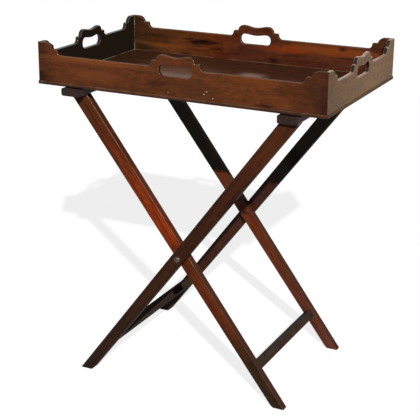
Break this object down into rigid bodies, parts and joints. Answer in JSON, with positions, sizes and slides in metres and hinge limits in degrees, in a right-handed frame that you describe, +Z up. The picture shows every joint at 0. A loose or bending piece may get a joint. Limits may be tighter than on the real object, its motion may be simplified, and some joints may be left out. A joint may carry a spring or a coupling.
{
  "type": "butler's tray on folding stand",
  "caption": "Rectangular wooden tray with scrolled, pierced hand-holds on all sides, resting on a crossed-leg stand that folds flat on two riveted pivots and is stopped by webbing straps.",
  "frame": {"origin": "on the floor, midway between the feet, under the middle of the tray", "axes": "+X along the tray's length to the right, +Y to the back along the pivots, +Z up"},
  "size_m": [0.705, 0.442, 0.7968],
  "materials": {
    "tray_mahogany": "worn gloss polish",
    "stand_mahogany": "worn satin polish",
    "dark_mahogany": "dull aged polish",
    "iron_rivets": "dull, worn bright on the head",
    "webbing": "woven jute and cotton",
    "blued_tacks": "blued",
    "brass_screws": "dull"
  },
  "bodies": {
    "outer_frame": {"outer_leg_front": "stand_mahogany", "outer_leg_back": "stand_mahogany", "outer_rail": "dark_mahogany", "outer_stretcher": "dark_mahogany", "pivot_rivet_front": "iron_rivets", "pivot_rivet_back": "iron_rivets", "rivet_rove_front": "iron_rivets", "rivet_rove_back": "iron_rivets", "spacer_washer_front": "iron_rivets", "spacer_washer_back": "iron_rivets", "strap_tacks_outer": "blued_tacks"},
    "inner_frame": {"inner_leg_front": "stand_mahogany", "inner_leg_back": "stand_mahogany", "inner_rail": "dark_mahogany", "inner_stretcher": "dark_mahogany", "strap_tacks_inner": "blued_tacks", "strap_front": "webbing", "strap_back": "webbing"},
    "tray": {"tray_front_board": "tray_mahogany", "tray_back_board": "tray_mahogany", "tray_left_end": "tray_mahogany", "tray_right_end": "tray_mahogany", "tray_base": "tray_mahogany", "tray_screws": "brass_screws"}
  },
  "joints": [
    {"name": "stand_fold", "type": "hinge", "parent": "outer_frame", "child": "inner_frame", "pos_m": [0, 0, 0.328], "axis": [0, 1, 0], "range_deg": [0, 66], "deforming": ["strap_front", "strap_back"]},
    {"name": "tray_lift", "type": "slide", "parent": "outer_frame", "child": "tray", "axis": [0, 0, 1], "range_m": [0, 0.37]}
  ],
  "couplings": [
    {"joint": "tray_lift", "follows": "stand_fold", "m_per_rad": 0.32}
  ]
}
